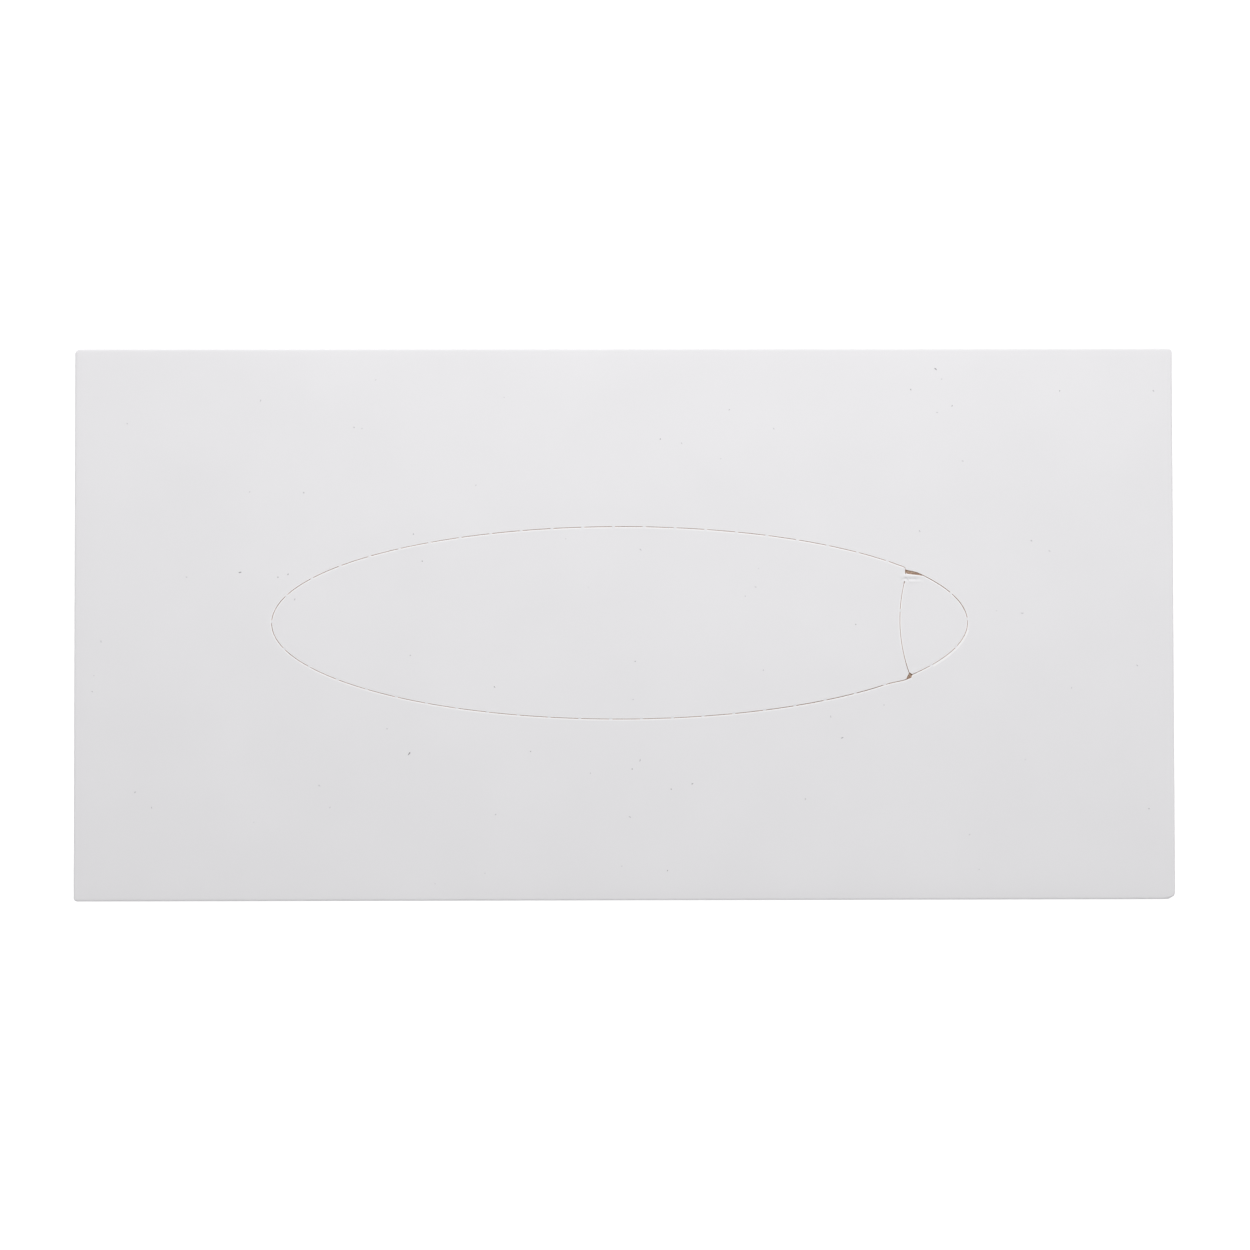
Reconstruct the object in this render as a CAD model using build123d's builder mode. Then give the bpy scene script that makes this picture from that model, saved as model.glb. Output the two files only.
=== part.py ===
from build123d import *
from math import asin, atan2, degrees, hypot, sqrt
import os

# Flat facial-tissue carton, full and glued shut, lying on its bottom panel.
# +X runs along its length, +Y to its back long side and +Z up. The origin is
# under the middle of the bottom panel, and lengths are in millimetres.
# The carton can't be seen into, so its board, glue and folded tissues are one
# solid, and every fold, flap, cut and tear of the outside has its true form.

os.makedirs("parts", exist_ok=True)

# Sizes of the folded carton
length = 229.0
width = 115.0
height = 48.0
board = 0.4
fold_radius = 0.7
crown = 0.6

# Sizes of the glued end flaps and of the seam along the back
outer_flap_length = 34.0
flap_setback = 0.9
flap_corner_radius = 2.5
seam_lift = 1.6

# Sizes of the top panel's corners, where the scored folds cross
back_left_corner = 0.6
back_right_corner = 0.3
front_left_corner = 0.5
crush_along = 1.9
crush_across = 1.1
crush_down = 5.0

# Sizes of the tear-out oval: a die cut through the board, held by nicks
oval_length = 144.8
oval_width = 40.1
oval_shift_x = -1.0
oval_shift_y = 0.45
cut_width = 0.3
nick_pitch = 6.4
nick_width = 0.4

# Sizes of the finger tab at the oval's right end
tab_length = 14.1
tab_radius = 33.1
tab_shift_y = 0.3
tab_reach_back = 8.0
tab_reach_front = 10.4
tab_nick_rise = 2.0
tab_nicks_each_side = 2

# Sizes of the two small tears at the ends of the tab's inner cut
back_tear_length = 3.8
back_tear_width = 1.5
front_tear_width = 1.2
front_tear_overrun = 0.6

# A cutting form runs this far past the face that it cuts
overrun = 2.0

panel_level = height - crown
half_length = length / 2
half_width = width / 2
outer_flap_edge = panel_level - outer_flap_length
slit_start = fold_radius + board


# The crowned top panel


def crown_pillow(level):
    """Thin pillow that stands on the top panel at this level: a biquadratic
    patch, level along the four folds and highest in the middle."""
    reach_x = half_length - fold_radius
    reach_y = half_width - fold_radius
    # The middle pole of such a patch stands four times as high as its surface
    pole_heights = [[0, 0, 0], [0, 4 * crown, 0], [0, 0, 0]]
    poles = [
        [Vector(x, y, level + rise) for y, rise in zip((-reach_y, 0, reach_y), row)]
        for x, row in zip((-reach_x, 0, reach_x), pole_heights)
    ]
    skin = Face.make_bezier_surface(poles)
    return Solid(Shell([skin, Face(Wire(skin.edges()))]))


# The lines of the oval and of the tab's inner cut

oval_right_tip = oval_shift_x + oval_length / 2
tab_centre_x = oval_right_tip - tab_length + tab_radius
tab_centre_y = oval_shift_y + tab_shift_y
oval_line = Edge.make_ellipse(
    oval_length / 2,
    oval_width / 2,
    Plane((oval_shift_x, oval_shift_y, 0)),
)


def oval_y(x, side):
    """Y of the oval's cut at x, on its back (1) or front (-1) half."""
    share = (x - oval_shift_x) / (oval_length / 2)
    return oval_shift_y + side * oval_width / 2 * sqrt(1 - share**2)


def tab_x(y):
    """X of the tab's inner cut at y."""
    return tab_centre_x - sqrt(tab_radius**2 - (y - tab_centre_y) ** 2)


back_end = (tab_x(tab_centre_y + tab_reach_back), tab_centre_y + tab_reach_back)
front_end = (tab_x(tab_centre_y - tab_reach_front), tab_centre_y - tab_reach_front)
back_turn = degrees(asin(tab_reach_back / tab_radius))
front_turn = degrees(asin(tab_reach_front / tab_radius))


def nick_places():
    """Places of the nicks along the oval, one pitch apart: the main cut's are
    counted both ways from the left tip, and the tab's from the right tip."""
    half_way = oval_line.length / 2
    tab_corner_y = oval_y(back_end[0], 1) - oval_shift_y
    tab_corner_arc = hypot(oval_right_tip - back_end[0], tab_corner_y)
    main_nicks = int((half_way - tab_corner_arc) / nick_pitch)
    main_steps = range(-main_nicks, main_nicks + 1)
    tab_steps = range(-tab_nicks_each_side, tab_nicks_each_side + 1)
    distances = [half_way + step * nick_pitch for step in main_steps]
    distances += [step * nick_pitch for step in tab_steps]
    places = []
    for distance in distances:
        share = (distance / oval_line.length) % 1
        tangent = oval_line % share
        turn = degrees(atan2(tangent.Y, tangent.X))
        places.append(Location(oval_line @ share, (0, 0, turn)))
    return places


# Every cut and tear of the top panel, as deep as the board is thick

with BuildPart() as top_cuts:
    with BuildSketch(Plane.XY.offset(panel_level - overrun)):
        with Locations((oval_shift_x, oval_shift_y)):
            Ellipse((oval_length + cut_width) / 2, (oval_width + cut_width) / 2)
            Ellipse(
                (oval_length - cut_width) / 2,
                (oval_width - cut_width) / 2,
                mode=Mode.SUBTRACT,
            )
        with Locations(*nick_places()):
            Rectangle(nick_width, 4 * cut_width, mode=Mode.SUBTRACT)
    extrude(amount=2 * overrun)
    with BuildSketch(Plane.XY.offset(panel_level - overrun)):
        with BuildLine(mode=Mode.PRIVATE) as tab_line:
            CenterArc(
                (tab_centre_x, tab_centre_y),
                tab_radius,
                180 - back_turn,
                back_turn + front_turn,
            )
        SlotArc(tab_line.edge(), cut_width)
        with Locations((tab_x(tab_centre_y + tab_nick_rise), tab_centre_y + tab_nick_rise)):
            Rectangle(4 * cut_width, nick_width, mode=Mode.SUBTRACT)
        with BuildLine():
            Polyline(
                (back_end[0], oval_y(back_end[0], 1)),
                (back_end[0], oval_y(back_end[0], 1) - back_tear_width),
                (back_end[0] + back_tear_length, oval_y(back_end[0] + back_tear_length, 1)),
                close=True,
            )
        make_face()
        with BuildLine():
            Polyline(
                front_end,
                (front_end[0] - front_tear_width / 2, oval_y(front_end[0], -1) - front_tear_overrun),
                (front_end[0] + front_tear_width / 2, oval_y(front_end[0], -1) - front_tear_overrun),
                close=True,
            )
        make_face()
    extrude(amount=2 * overrun)
    with BuildSketch(Plane.XY.offset(panel_level - 2 * overrun)):
        Rectangle(length, width)
    extrude(amount=2 * overrun - board, mode=Mode.SUBTRACT)
    add(crown_pillow(panel_level - board), mode=Mode.SUBTRACT)

# The whole carton

with BuildPart() as tissue_carton:
    with BuildSketch():
        Rectangle(length, width)
    extrude(amount=panel_level)

    # Below the outer flaps' cut edges the inner flaps stand one board back
    for end in (-1, 1):
        with BuildSketch(Plane.YZ.offset(end * half_length)):
            Rectangle(width, outer_flap_edge, align=(Align.CENTER, Align.MIN))
        extrude(amount=-end * board, mode=Mode.SUBTRACT)

    # The back panel ends above the bottom fold, glued over the seam flap
    with BuildSketch(Plane.XZ.offset(-half_width)):
        Rectangle(length, seam_lift, align=(Align.CENTER, Align.MIN))
    extrude(amount=board, mode=Mode.SUBTRACT)

    # Scored folds round the top and the bottom panel
    fillet(tissue_carton.faces().sort_by(Axis.Z)[-1].edges(), fold_radius)
    fillet(tissue_carton.faces().sort_by(Axis.Z)[0].edges(), fold_radius)

    # Rounded corners of the top panel
    with BuildSketch() as plan:
        Rectangle(length, width)
        corners = plan.vertices()
        fillet(corners.sort_by(Axis.X)[:2].sort_by(Axis.Y)[-1], back_left_corner)
        fillet(corners.sort_by(Axis.X)[:2].sort_by(Axis.Y)[0], front_left_corner)
        fillet(corners.sort_by(Axis.X)[-2:].sort_by(Axis.Y)[-1], back_right_corner)
    extrude(amount=height, mode=Mode.INTERSECT)

    # The end flaps stand back from the corners, and beside them the dust flaps
    # show, folded in from the long panels two boards behind the outer flap
    for end in (-1, 1):
        with BuildSketch(Plane.YZ.offset(end * half_length)):
            with Locations((0, panel_level / 2)):
                Rectangle(width + 2 * overrun, panel_level - 2 * slit_start)
                Rectangle(width - 2 * flap_setback, panel_level, mode=Mode.SUBTRACT)
        extrude(amount=-end * 2 * board, mode=Mode.SUBTRACT)
    uprights = tissue_carton.edges().filter_by(Axis.Z)
    fillet(uprights.filter_by(lambda edge: edge.length > height / 2).group_by(Axis.Y)[0], fold_radius)
    uprights = tissue_carton.edges().filter_by(Axis.Z)
    fillet(uprights.filter_by(lambda edge: edge.length > height / 2).group_by(Axis.Y)[-1], fold_radius)

    # The outer flaps' lower corners are rounded off
    for end in (-1, 1):
        with BuildSketch(Plane.YZ.offset(end * half_length)):
            for side in (-1, 1):
                corner = (side * (half_width - flap_setback), outer_flap_edge)
                inner = (corner[0] - side * flap_corner_radius, corner[1] + flap_corner_radius)
                with Locations(corner):
                    Rectangle(2 * flap_corner_radius, 2 * flap_corner_radius)
                with Locations(inner):
                    Circle(flap_corner_radius, mode=Mode.SUBTRACT)
        extrude(amount=-end * board, mode=Mode.SUBTRACT)

    # The front right corner has been knocked flat on a slant
    along = Vector(-crush_along, 0, crush_down)
    across = Vector(0, crush_across, crush_down)
    foot = (half_length, -half_width, panel_level - crush_down)
    split(bisect_by=Plane(origin=foot, z_dir=along.cross(across)), keep=Keep.TOP)

    # Crown, perforated oval, tab and tears
    add(crown_pillow(panel_level))
    add(top_cuts.part, mode=Mode.SUBTRACT)

tissue_carton.part.label = "tissue_carton"
export_step(tissue_carton.part, "parts/tissue_carton.step")
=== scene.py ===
import math

import bpy
import numpy as np
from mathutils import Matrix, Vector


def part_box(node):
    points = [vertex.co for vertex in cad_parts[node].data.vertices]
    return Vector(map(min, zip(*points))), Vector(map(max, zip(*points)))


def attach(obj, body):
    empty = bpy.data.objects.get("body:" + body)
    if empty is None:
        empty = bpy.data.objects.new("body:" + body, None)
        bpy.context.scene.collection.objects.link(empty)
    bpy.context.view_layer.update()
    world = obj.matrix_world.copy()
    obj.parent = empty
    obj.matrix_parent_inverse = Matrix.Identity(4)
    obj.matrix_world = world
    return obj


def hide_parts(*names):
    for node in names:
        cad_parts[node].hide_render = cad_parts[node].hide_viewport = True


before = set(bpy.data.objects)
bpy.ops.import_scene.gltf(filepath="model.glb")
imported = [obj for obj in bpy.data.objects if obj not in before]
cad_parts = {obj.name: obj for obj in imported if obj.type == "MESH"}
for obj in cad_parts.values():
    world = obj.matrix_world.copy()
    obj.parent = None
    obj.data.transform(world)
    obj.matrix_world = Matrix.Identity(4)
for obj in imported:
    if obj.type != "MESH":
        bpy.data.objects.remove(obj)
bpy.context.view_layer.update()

# A flat facial-tissue carton of white-coated boxboard, full and glued shut,
# seen from above. Its skin is one closed mesh with a shallow oval recess, and
# the tear-out panel and its finger tab are board slabs that lie in the recess,
# held by the nicks that the die left. Sizes are in millimetres, as in the CAD
# model, and make_piece turns them to metres.

MM = 0.001
BODY = "root"
NODE = "tissue_carton"

low, high = (np.array(corner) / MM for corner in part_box(NODE))
LENGTH, WIDTH, HEIGHT = high - low
HALF_LENGTH = LENGTH / 2
HALF_WIDTH = WIDTH / 2

# Board and folds
BOARD = 0.4
FOLD_RADIUS = 0.7
TOP_FOLD_RADIUS = 0.5

# Top panel: its crown, the roll-off along every fold, and the deeper one along
# the front fold, which starts and ends at these places along the carton
CROWN = 0.6
PANEL_LEVEL = HEIGHT - CROWN
ROLL_OFF = 0.05
ROLL_OFF_REACH = 3.0
FRONT_ROLL_OFF = 0.12
FRONT_ROLL_OFF_REACH = 6.0
FRONT_ROLL_START = -40.0
FRONT_ROLL_RISE = 40.0
FRONT_ROLL_END = HALF_LENGTH - 2.0
FRONT_ROLL_FALL = 20.0

# Waviness of the panels: its depth, and for the sides how far from a corner it
# starts and over what length it grows
PANEL_RIPPLE = 0.012
SIDE_RIPPLE = 0.07
LONG_RIPPLE_START = 3.0
LONG_RIPPLE_GROWTH = 30.0
END_RIPPLE_START = 6.0
END_RIPPLE_GROWTH = 25.0

# The waves are crossed sines: the run along and across the panel over which
# each turns by one radian, and its phase
PANEL_WAVES = ((9.1, 23.0, 0.4), (17.3, -7.9, 1.9), (31.0, 12.7, 3.1), (5.3, 41.0, 5.2))
SIDE_WAVES = ((14.0, 21.0, 0.0), (25.0, -11.0, 2.0))
TORN_WAVES = ((1 / 13, 1 / 9, 0.0), (1 / 7, -1 / 17, 1.3), (1 / 23, 1 / 5, 2.1))

# Glued end flaps and seam
FLAP_EDGE = PANEL_LEVEL - 34.0
FLAP_SETBACK = 0.9
SETBACK_LINE = HALF_WIDTH - FLAP_SETBACK
FLAP_CORNER_RADIUS = 2.5
SLIT_START = FOLD_RADIUS + BOARD
SEAM_LIFT = 1.6

# Plan corners: how far each is rounded along the carton and across it. All
# four are alike below the top fold
FRONT_LEFT_CORNER = (0.8, 0.7)
FRONT_RIGHT_CORNER = (2.5, 1.4)
BACK_RIGHT_CORNER = (0.9, 0.9)
BACK_LEFT_CORNER = (1.2, 1.1)
TOP_CORNERS = (FRONT_LEFT_CORNER, FRONT_RIGHT_CORNER, BACK_RIGHT_CORNER, BACK_LEFT_CORNER)
UPRIGHT_CORNERS = ((0.7, 0.7),) * 4
SMALLEST_CORNER = 0.08

# The front right corner is knocked flat on a slant, which cuts this far back
# along the front fold and the end fold, and this far down
CRUSH_ALONG = 1.4
CRUSH_ACROSS = 0.8
CRUSH_DOWN = 5.0

# Tear-out oval
OVAL_HALF_LENGTH = 144.8 / 2
OVAL_HALF_WIDTH = 40.05 / 2
OVAL_X = -1.0
OVAL_Y = 0.2

# Nicks that hold the oval, each with two flanks and a tooth that reaches across
# the cut. Those of the main panel are counted from the oval's left tip and
# those of the tab from its right tip
NICK_WIDTH = 0.58
NICK_FLANK = 0.06
NICK_REACH = 0.2
NICK_LIFT = 0.01
MAIN_NICK_PITCH = 6.41
MAIN_NICK_SHIFT = -0.35
MAIN_NICKS_EACH_SIDE = 21
TAB_NICK_PITCH = 6.48
TAB_NICK_SHIFT = 0.65
TAB_NICKS_FRONT = 2
TAB_NICKS_BACK = 1

# Width of the cut along the oval: arc length from the right tip, and width. It
# gapes at the back of the tab and before the front tear
CUT_OPENINGS = (
    (0.0, 0.05),
    (3.0, 0.095),
    (12.0, 0.095),
    (18.0, 0.06),
    (60.0, 0.06),
    (80.0, 0.068),
    (100.0, 0.066),
    (120.0, 0.05),
    (150.0, 0.07),
    (180.0, 0.057),
    (250.0, 0.065),
    (272.0, 0.09),
    (296.0, 0.09),
    (301.0, 0.055),
    (313.0, 0.055),
)

# Finishes of a mesh's faces, in the order of BOARD_FINISHES, the last a painted highlight
WHITE, CUT, CORE, RIM_HIGHLIGHT = 0, 1, 2, 3

# Section of the board beside a cut: distance from the cut, height, the share
# of that height which a nick leaves, and the finish up to there. The die rolls
# the coating down towards the cut, and only the innermost strip shows the core;
# the rolled strip beside it takes the whiter coating, a painted highlight
CUT_EDGE = (
    (0.0, -0.065, 0.2, CUT),
    (0.03, -0.04, 0.2, CUT),
    (0.07, -0.026, 0.3, RIM_HIGHLIGHT),
    (0.15, -0.008, 0.5, RIM_HIGHLIGHT),
    (0.27, 0.006, 1.0, RIM_HIGHLIGHT),
    (0.5, 0.003, 1.0, WHITE),
    (1.0, 0.0, 1.0, WHITE),
)

# Stretch of the cut, as arc length from the right tip, along which the whiter
# coating, a painted highlight, reaches further from the cut than elsewhere
WIDE_RIM_HIGHLIGHT_STRETCH = (301.5, 312.5)
WIDE_RIM_HIGHLIGHT_REACH = 0.5

# Gaps that keep faces apart: between the slabs and the recess's floor, at a
# slab's upper and lower rims, and half the height of a ledge in the sides
RECESS_DEPTH = BOARD + 0.03
UPPER_RIM_GAP = 0.002
LOWER_RIM_GAP = 0.01
LEDGE = 0.03
SLIT_LEDGE = 0.02

# Finger tab and its inner cut, which gapes towards the front tear. At its back
# end a bridge of board holds the tab, and the cut is pinched open before it
TAB_LENGTH = 14.1
TAB_RADIUS = 33.1
TAB_CENTRE_X = OVAL_X + OVAL_HALF_LENGTH - TAB_LENGTH + TAB_RADIUS
TAB_CENTRE_Y = OVAL_Y + 0.5
TAB_CUT_WIDTH = 0.045
TAB_NICK_Y = TAB_CENTRE_Y + 2.0
TAB_GAPE = 0.03
TAB_GAPE_START = -4.5
TAB_GAPE_GROWTH = 5.0
BRIDGE_BOTTOM_Y = 8.75
BRIDGE_TOP_Y = 10.35
BRIDGE_BOTTOM_FLANK = 0.05
BRIDGE_TOP_FLANK = 0.1
TAB_PINCH = 0.06
TAB_PINCH_Y = BRIDGE_BOTTOM_Y - 0.15
TAB_PINCH_LENGTH = 0.2

# Tears at the two ends of the tab's inner cut. The back one has its left end,
# its corner at the bridge and its right end, and the front one its tip, its
# left foot and its right foot
BACK_TEAR = ((58.43, 11.6), (58.42, 10.35), (62.2, 9.88))
FRONT_TEAR = ((59.12, -10.25), (58.75, -11.6), (59.85, -10.9))
BACK_BITE_START_Y = BRIDGE_TOP_Y - 0.3
BACK_BITE_END_Y = BRIDGE_TOP_Y + 0.1

# Torn core in the tears: depth and roughness of its top, how far it keeps from
# the board round it, where it ends before a tip, and its least width
TORN_DEPTH = 0.14
TORN_ROUGHNESS = 0.09
TORN_GAP = 0.07
TORN_UNDERSIDE_GAP = 0.02
BACK_TORN_END_GAP = 0.3
FRONT_TORN_END_GAP = 0.1
TORN_LEAST_WIDTH = 0.01

# Lip of board that hangs over the back tear, and the share of it that it takes
# to reach its width
LIP_REACH = 0.42
LIP_END = 61.2
LIP_START_SHARE = 0.05

# The cut strays outwards before the front tear and falls back just past it
FLARE = 0.48
FLARE_REACH = 4.6
FLARE_END = 0.75
FLARE_FALL = FLARE_END / 2

# Folds along the crease beside the back tear: height, y of the crest and
# spread of the torn lip, the valley and the ridge. Then where they begin and
# end along the carton, and over what lengths
CREASE_FOLDS = ((0.14, 9.86, 0.28), (-0.13, 9.24, 0.24), (0.06, 8.72, 0.3))
CREASE_START = 57.0
CREASE_GROWTH = 1.3
CREASE_END = 62.8
CREASE_FALL = 2.2

# Curl of the board beside the front tear: height, place and squared spread
CURL = 0.07
CURL_X = 60.1
CURL_Y = -10.2
CURL_SPREAD = 0.4

# Specks in the coating: x, y and radius of the ones that catch the eye, and
# how many faint ones are strewn between them
PLACED_SPECKS = (
    (-44.8, -26.9, 0.19),
    (-80.0, 10.8, 0.16),
    (65.0, 53.1, 0.16),
    (14.0, -33.3, 0.13),
    (45.2, -23.8, 0.13),
    (1.5, -30.2, 0.12),
    (9.6, -34.4, 0.12),
    (-72.1, 9.8, 0.12),
    (7.5, 38.5, 0.11),
    (8.8, -51.3, 0.11),
    (-42.1, 13.1, 0.11),
    (59.8, 48.8, 0.11),
    (90.9, 48.5, 0.11),
    (-70.0, 10.4, 0.11),
    (37.5, -36.5, 0.1),
    (68.4, 45.4, 0.1),
    (48.1, -0.2, 0.1),
    (-19.6, -26.5, 0.1),
    (-27.1, -13.1, 0.1),
)
FAINT_SPECKS = 60
FAINT_RADII = (0.07, 0.16)
SPECK_MARGIN = 3.0
SPECK_STRETCH = (1.0, 2.2)
SPECK_LOBE = 0.18
SPECK_RISE = 0.012
SPECK_SEED = 7

# Steps of the grids: along a long and a short side of the skin's rings and of
# the two slabs', round a corner, and down the folds
SKIN_COUNTS = (150, 64)
PANEL_COUNTS = (210, 96)
TAB_COUNTS = (84, 130)
CORNER_STEPS = 6
TOP_FOLD_STEPS = 7
BOTTOM_FOLD_STEPS = 5
TEAR_STEPS = 24
TORN_COLUMNS = 9
BACK_TORN_ROWS = 30
FRONT_TORN_ROWS = 20
SPECK_RINGS = 4
SPECK_SIDES = 10

# Edges of a mesh sharper than this many degrees are shaded sharp
SHARP_ANGLE = 38

# Slant of an inset: how small it may be, and over how many neighbours on each
# side it is averaged
SMALLEST_SLANT = 0.7
SLANT_NEIGHBOURS = 9

# Arc length from a tip of the oval at which a ring's long side begins
SKIN_TIP_REACH = 12.0
PANEL_TIP_REACH = 22.4
TAB_TIP_REACH = 9.6

# Boxes towards which the slabs' edges are inset: their two corners
PANEL_HEART = ((OVAL_X - 66.0, OVAL_Y), (50.0, OVAL_Y))
TAB_HEART = ((61.5, -3.0), (66.0, 4.0))


# Surfaces of the carton, worked out as whole arrays


def smooth(value):
    """Three t squared minus two t cubed, with t held between 0 and 1."""
    t = np.clip(value, 0.0, 1.0)
    return t * t * (3.0 - 2.0 * t)


def crossed_sines(along, across, table):
    """Mean of the sines that a table of waves gives, between -1 and 1."""
    waves = [np.sin(along / run + across / rise + phase) for run, rise, phase in table]
    return sum(waves) / len(waves)


def top_height(x, y):
    """Height of the top panel: the crown times one minus the square of each
    share of the half length and half width, less a roll-off by the folds that
    grows with the square of the nearness, less a slight waviness."""
    share_x = np.clip(np.abs(x) / (HALF_LENGTH - TOP_FOLD_RADIUS), 0, 1)
    share_y = np.clip(np.abs(y) / (HALF_WIDTH - TOP_FOLD_RADIUS), 0, 1)
    crown = CROWN * (1 - share_x**2) * (1 - share_y**2)
    edge = np.minimum(HALF_LENGTH - np.abs(x), HALF_WIDTH - np.abs(y)) - TOP_FOLD_RADIUS
    roll = ROLL_OFF * np.clip(1 - edge / ROLL_OFF_REACH, 0, 1) ** 2
    front_edge = np.clip(y + HALF_WIDTH - TOP_FOLD_RADIUS, 0, None)
    front_roll = FRONT_ROLL_OFF * np.clip(1 - front_edge / FRONT_ROLL_OFF_REACH, 0, 1) ** 2
    front_roll *= smooth((x - FRONT_ROLL_START) / FRONT_ROLL_RISE)
    front_roll *= smooth((FRONT_ROLL_END - x) / FRONT_ROLL_FALL)
    inner = (1 - share_x**4) * (1 - share_y**4)
    ripple = PANEL_RIPPLE * (1 - crossed_sines(x, y, PANEL_WAVES)) * inner
    return PANEL_LEVEL + crown - roll - front_roll - ripple


def crease_height(x, y):
    """Height that the slabs gain beside the tears: a bell curve across each
    fold of the crease, and a round bell for the curl."""
    along = smooth((x - CREASE_START) / CREASE_GROWTH) * smooth((CREASE_END - x) / CREASE_FALL)
    folds = [rise * np.exp(-(((y - crest) / spread) ** 2)) for rise, crest, spread in CREASE_FOLDS]
    apart = (x - CURL_X) ** 2 + (y - CURL_Y) ** 2
    return along * sum(folds) + CURL * np.exp(-apart / CURL_SPREAD)


def slab_height(x, y):
    """Height of the slabs in the recess: the top panel's and the crease's."""
    return top_height(x, y) + crease_height(x, y)


def stations(breaks, count):
    """Values that run through every break in count steps: the steps left over
    are shared out by the length of each gap. Shares are rounded, and the first
    of equal gaps get the odd steps, so that every run gives the same values."""
    breaks = np.asarray(breaks, float)
    gaps = np.abs(np.diff(breaks))
    spare = count - len(gaps)
    share = np.round(spare * gaps / gaps.sum(), 6)
    extra = np.floor(share).astype(int)
    extra[np.argsort(extra - share, kind="stable")[: spare - extra.sum()]] += 1
    runs = [
        np.linspace(start, stop, steps + 1, endpoint=False)
        for start, stop, steps in zip(breaks[:-1], breaks[1:], extra)
    ]
    return np.append(np.concatenate(runs), breaks[-1])


# Table of the oval's arc length, counter-clockwise from its right tip
ARC_TABLE_STEPS = 7200
oval_turns = np.linspace(0, 2 * np.pi, ARC_TABLE_STEPS + 1)
oval_steps = np.hypot(
    np.diff(OVAL_HALF_LENGTH * np.cos(oval_turns)),
    np.diff(OVAL_HALF_WIDTH * np.sin(oval_turns)),
)
oval_arc = np.concatenate([[0.0], np.cumsum(oval_steps)])
OVAL_ROUND = oval_arc[-1]
OVAL_LEFT_TIP = OVAL_ROUND / 2


def oval_point(distance, offset):
    """Point at this arc length along the oval, moved outwards by offset along
    the ellipse's normal, which is x and y over the squared half axes."""
    turn = np.interp(np.mod(distance, OVAL_ROUND), oval_arc, oval_turns)
    x = OVAL_HALF_LENGTH * np.cos(turn)
    y = OVAL_HALF_WIDTH * np.sin(turn)
    normal_x = x / OVAL_HALF_LENGTH**2
    normal_y = y / OVAL_HALF_WIDTH**2
    size = np.hypot(normal_x, normal_y)
    shift = np.stack([normal_x / size, normal_y / size], -1) * np.asarray(offset)[..., None]
    return np.stack([x + OVAL_X, y + OVAL_Y], -1) + shift


def oval_distance_at(x, side):
    """Arc length at which the oval passes x on its back (1) or front (-1)."""
    turn = np.arccos((x - OVAL_X) / OVAL_HALF_LENGTH)
    distance = np.interp(turn, oval_turns, oval_arc)
    return distance if side > 0 else OVAL_ROUND - distance


def tab_line(y, offset):
    """X of the tab's inner cut at y, a circle's arc moved by offset towards
    the tab."""
    return TAB_CENTRE_X - np.sqrt((TAB_RADIUS - offset) ** 2 - (y - TAB_CENTRE_Y) ** 2)


def tab_gap(y):
    """Half the width of the tab's inner cut at y: half of its width, the gape
    towards the front tear and a bell curve where it is pinched open."""
    gape = TAB_GAPE * smooth((TAB_GAPE_START - y) / TAB_GAPE_GROWTH)
    pinch = TAB_PINCH * np.exp(-(((y - TAB_PINCH_Y) / TAB_PINCH_LENGTH) ** 2))
    return TAB_CUT_WIDTH / 2 + gape + pinch


def flare(distance):
    """How far the cut strays outwards as it nears the front tear."""
    corner = oval_distance_at(FRONT_TEAR[1][0], -1)
    rise = smooth((distance - corner + FLARE_REACH) / FLARE_REACH)
    fall = 1 - smooth((distance - corner - FLARE_END) / FLARE_FALL)
    return FLARE * rise * fall


def cut_half_width(distance):
    """Half the width of the cut at this arc length along the oval."""
    places, widths = np.array(CUT_OPENINGS).T
    return np.interp(np.mod(distance, OVAL_ROUND), places, widths) / 2


def torn_lip(distance):
    """How far the board outside the oval hangs over the back tear, from the
    tear's left end to where it runs out."""
    start = oval_distance_at(BACK_TEAR[0][0], 1)
    end = oval_distance_at(LIP_END, 1)
    along = (start - distance) / (start - end)
    return LIP_REACH * np.clip(along / LIP_START_SHARE, 0, 1) * smooth(1 - along)


def nick_weight(distance, nicks):
    """1 on each nick and 0 between them, with short flanks."""
    apart = np.abs(distance[:, None] - np.asarray(nicks)).min(1)
    return np.clip((NICK_WIDTH / 2 + NICK_FLANK - apart) / NICK_FLANK, 0, 1)


def nick_marks(nicks, start, end):
    """Foot and head of each flank of the nicks between start and end."""
    half = NICK_WIDTH / 2
    offsets = np.array([-half - NICK_FLANK, -half, half, half + NICK_FLANK])
    marks = (np.asarray(nicks)[:, None] + offsets).ravel()
    return marks[(marks > start) & (marks < end)]


def nick_stations(nicks, start, end, count):
    """Stations from start to end that pass every mark of the nicks."""
    return stations([start, *nick_marks(nicks, start, end), end], count)


# Closed skins made of rings and of the patches that close both ends. The counts
# are the steps along a ring's long side and along its short side


def way_shares(points):
    """Share of the whole way at each point of a run, from 0 to 1."""
    way = np.concatenate([[0.0], np.cumsum(np.hypot(*np.diff(points, axis=0).T))])
    return way / way[-1]


def ring_sides(ring, counts):
    """Front, right, back and left runs of a ring that starts front left and
    goes counter-clockwise, each run from left to right or front to back."""
    long_count, short_count = counts
    closed = np.vstack([ring, ring[:1]])
    right_start, back_start = long_count, long_count + short_count
    left_start = back_start + long_count
    front, right = closed[: right_start + 1], closed[right_start : back_start + 1]
    back, left = closed[back_start : left_start + 1][::-1], closed[left_start:][::-1]
    return front, right, back, left


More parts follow.
